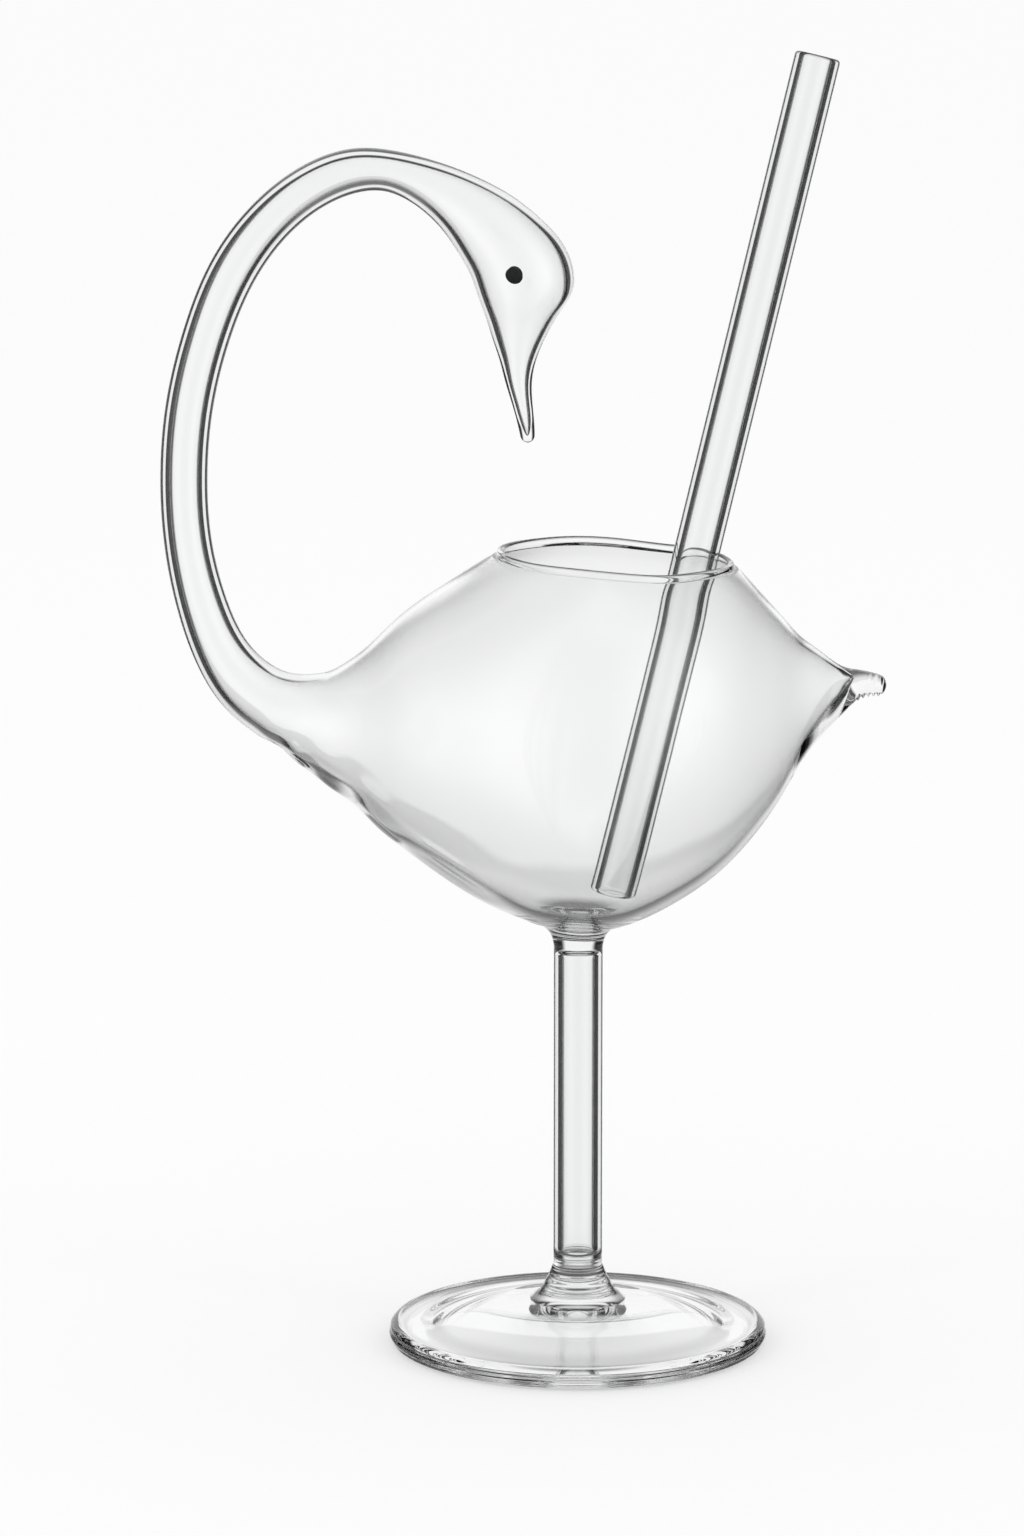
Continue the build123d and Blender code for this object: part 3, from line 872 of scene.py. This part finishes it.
def makeEnamel():
    material = bpy.data.materials.new("eyeEnamel")
    material.use_nodes = True
    nodes, link = material.node_tree.nodes, material.node_tree.links.new
    shader = nodes["Principled BSDF"]
    place = nodes.new("ShaderNodeTexCoord")
    grain = nodes.new("ShaderNodeTexNoise")
    grain.inputs["Scale"].default_value = 2500.0
    link(place.outputs["Object"], grain.inputs["Vector"])
    tone = nodes.new("ShaderNodeValToRGB")
    tone.color_ramp.elements[0].color = (0.006, 0.006, 0.006, 1)
    tone.color_ramp.elements[1].color = (0.016, 0.016, 0.016, 1)
    link(grain.outputs["Fac"], tone.inputs["Fac"])
    link(tone.outputs["Color"], shader.inputs["Base Color"])
    bump = nodes.new("ShaderNodeBump")
    bump.inputs["Distance"].default_value = 0.00002
    link(grain.outputs["Fac"], bump.inputs["Height"])
    link(bump.outputs["Normal"], shader.inputs["Normal"])
    shader.inputs["Roughness"].default_value = 0.55
    shader.inputs["Specular IOR Level"].default_value = 0.25
    return material


eyeEnamel = makeEnamel()


# dome over the cheek: the head's own skin raised by a share that falls from middle to edge
def makeEye(name, side, rise):
    table = np.linspace(nape, beakRoot, 400)[:, None]
    around = side * np.linspace(0.9, 2.3, 300)[None]
    skin = outerBird(*np.broadcast_arrays(table, around))
    miss = np.hypot(skin[..., 0] - eyes["x"], skin[..., 2] - axisHeight - rise)
    row, column = np.unravel_index(np.argmin(miss), miss.shape)
    centreT, centreA = table[row, 0], around[0, column]
    centre = outerBird(centreT, centreA)
    outwards = surfaceNormals(outerBird, centreT, centreA)
    # mm of skin to one unit of t and of a
    nearT = outerBird(centreT + 0.1, centreA) - outerBird(centreT - 0.1, centreA)
    nearA = outerBird(centreT, centreA + 0.01) - outerBird(centreT, centreA - 0.01)
    stretchT, stretchA = np.linalg.norm(nearT) / 0.2, np.linalg.norm(nearA) / 0.02
    share, turn = np.meshgrid(
        np.linspace(1, 0.04, eyes["rows"]),
        2 * math.pi * np.arange(eyes["columns"]) / eyes["columns"],
        indexing="ij",
    )
    reach = eyes["radius"] * share
    t = centreT + reach * np.cos(turn) / stretchT
    a = centreA + reach * np.sin(turn) / stretchA
    base = outerBird(t, a)
    lift = eyes["dome"] * np.sqrt(np.clip(1 - share**2, 0, 1))
    top = base + (lift[..., None] + eyes["lift"]) * outwards
    normals = unit(outwards + eyes["lean"] * share[..., None] * unit(base - centre))
    piece = Piece(name + "_dome")
    ids = piece.add(top, normals)
    sunk = eyes["sunk"] * outwards
    under = piece.add(base[0] - sunk, np.broadcast_to(-outwards, base[0].shape))
    piece.skin(ids, flip=True)
    piece.fan(ids[-1], centre + (eyes["dome"] + eyes["lift"]) * outwards, outwards, flip=True)
    piece.skin(np.stack([ids[0], under]))
    piece.fan(under, centre - sunk, -outwards)
    return piece.make([eyeEnamel], "glass", [name], "black_enamel")


makeEye("eye_left", -1, eyes["leftRise"])
makeEye("eye_right", 1, eyes["rightRise"])
print("eyes set")

# studio: white floor and sky, and a light tent round the camera that only the glass sees;
# angles are in degrees from the way the camera looks
studio = {
    "white": 0.97,
    "fieldSide": 25.0,  # half width of the white field behind the glass
    "fieldUp": 50.0,
    "fieldDown": 84.0,
    "table": 0.15,  # what the field falls to below, as seen through the bowl's underside
    "tableFade": (9, 32),
    "footShade": 0.18,  # share that the field loses where the foot stands
    "shadeFade": (4.6, 5.4),
    "fieldFlare": 9.0,  # how much wider it is low down
    "flareFade": (15, 60),
    "fieldEdge": 0.22,  # how softly it ends, as a share of its size
    "dark": 0.015,
    "front": 0.3,  # dim room behind the camera
    "frontFade": (100, 125),
    # side, up, width, height and power of the soft strips
    "strips": [(-122, 6, 36, 42, 0.7), (130, 12, 34, 40, 1.0), (180, 66, 34, 20, 0.6)],
    "tentRadius": 12.0,  # m
    "tentAhead": 1.2,
    "floorHalf": 30.0,  # m
    "floorTone": 0.5,
    "floorGlow": 0.48,
    "softbox": 2.0,  # W
}


def makeFloor():
    mesh = bpy.data.meshes.new("floor")
    half = studio["floorHalf"]
    corners = [(-half, -half, 0), (half, -half, 0), (half, half, 0), (-half, half, 0)]
    mesh.from_pydata(corners, [], [(0, 1, 2, 3)])
    floor = bpy.data.objects.new("floor", mesh)
    scene.collection.objects.link(floor)
    material = bpy.data.materials.new("paleFloor")
    material.use_nodes = True
    shader = material.node_tree.nodes["Principled BSDF"]
    shader.inputs["Base Color"].default_value = (*[studio["floorTone"]] * 3, 1)
    shader.inputs["Roughness"].default_value = 0.9
    shader.inputs["Specular IOR Level"].default_value = 0.0
    shader.inputs["Emission Color"].default_value = (1, 1, 1, 1)
    shader.inputs["Emission Strength"].default_value = studio["floorGlow"]
    mesh.materials.append(material)
    floor.visible_transmission = False
    floor.visible_glossy = False
    floor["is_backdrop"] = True


def makeSky():
    world = bpy.data.worlds.new("studio")
    scene.world = world
    world.use_nodes = True
    world.node_tree.nodes["Background"].inputs["Color"].default_value = (1, 1, 1, 1)
    world.node_tree.nodes["Background"].inputs["Strength"].default_value = studio["white"]


# the tent's glow by direction: a white field ahead, dark sides, a dim front with soft bright strips
def tentGlow(side, up):
    side, up = np.radians(side), np.radians(up)
    beside = np.degrees(np.arcsin(np.abs(np.sin(side)) * np.cos(up)))
    lift = np.degrees(np.arctan2(np.sin(up), np.cos(side) * np.cos(up)))
    wide = studio["fieldSide"] + studio["fieldFlare"] * step(*studio["flareFade"], -lift)
    high = np.where(lift > 0, lift / studio["fieldUp"], -lift / studio["fieldDown"])
    near, far = 1 - studio["fieldEdge"], 1 + studio["fieldEdge"]
    white = studio["white"] * (1 - studio["footShade"] * step(*studio["shadeFade"], -lift))
    white = white + (studio["table"] - white) * step(*studio["tableFade"], -lift)
    glow = white * (1 - step(near, far, beside / wide)) * (1 - step(near, far, high))
    around = np.degrees(np.arccos(np.cos(side) * np.cos(up)))
    room = step(*studio["frontFade"], around)
    glow = glow + studio["dark"] + (studio["front"] - studio["dark"]) * room
    for stripSide, stripUp, width, height, power in studio["strips"]:
        across = ((np.degrees(side) - stripSide + 180) % 360 - 180) / width
        over = (np.degrees(up) - stripUp) / height
        glow = glow + power * np.exp(-(across**2) - over**2)
    return glow


def makeTent():
    side, up = np.meshgrid(
        np.linspace(-180, 180, 361)[:-1], np.linspace(-89.5, 89.5, 180), indexing="ij"
    )
    x = np.sin(np.radians(side)) * np.cos(np.radians(up))
    y, z = np.sin(np.radians(up)), -np.cos(np.radians(side)) * np.cos(np.radians(up))
    centre = np.array([0, 0, -studio["tentAhead"]])
    points = studio["tentRadius"] * np.stack([x, y, z], axis=-1) + centre
    ids = np.arange(side.size).reshape(side.shape)
    after = np.roll(ids, -1, axis=0)
    quads = np.stack([ids[:, :-1], ids[:, 1:], after[:, 1:], after[:, :-1]], axis=-1)
    mesh = bpy.data.meshes.new("lightTent")
    mesh.from_pydata(points.reshape(-1, 3), [], quads.reshape(-1, 4))
    glow = mesh.attributes.new("glow", "FLOAT", "POINT")
    glow.data.foreach_set("value", tentGlow(side, up).ravel())
    tent = bpy.data.objects.new("lightTent", mesh)
    scene.collection.objects.link(tent)
    material = bpy.data.materials.new("lightTent")
    material.use_nodes = True
    nodes, link = material.node_tree.nodes, material.node_tree.links.new
    nodes.clear()
    value = nodes.new("ShaderNodeAttribute")
    value.attribute_name = "glow"
    emit = nodes.new("ShaderNodeEmission")
    link(value.outputs["Fac"], emit.inputs["Strength"])
    link(emit.outputs[0], nodes.new("ShaderNodeOutputMaterial").inputs["Surface"])
    mesh.materials.append(material)
    material.cycles.emission_sampling = "NONE"
    tent.parent = camera
    tent.visible_camera = False
    tent.visible_diffuse = False
    tent.visible_shadow = False
    tent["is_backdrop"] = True


makeFloor()
makeSky()
makeTent()


def makeSoftbox(name, place, size, power):
    light = bpy.data.lights.new(name, "AREA")
    light.shape = "RECTANGLE"
    light.size, light.size_y = size
    light.energy = power
    lamp = bpy.data.objects.new(name, light)
    scene.collection.objects.link(lamp)
    lamp.location = place
    lamp.visible_glossy = False
    lamp.visible_transmission = False
    # turned to the middle of the glass
    aim = np.array([0, 0, 0.12]) - np.array(place)
    turn = math.atan2(aim[1], aim[0])
    tilt = math.atan2(aim[2], math.hypot(aim[0], aim[1]))
    lamp.rotation_euler = (math.pi / 2 + tilt, 0, turn - math.pi / 2)


makeSoftbox("softboxLeft", (-1.1, -0.9, 0.7), (0.35, 1.1), studio["softbox"])
makeSoftbox("softboxRight", (1.2, -0.8, 0.7), (0.3, 1.0), 0.7 * studio["softbox"])

scene.view_settings.view_transform = "Standard"
scene.cycles.max_bounces = 32
scene.cycles.transmission_bounces = 32
scene.cycles.glossy_bounces = 12
scene.cycles.transparent_max_bounces = 48
print("studio lit")

boxes = {"cad": cadBox, "visual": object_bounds()}
{k: [[float(c) for c in corner] for corner in box] for k, box in boxes.items()}
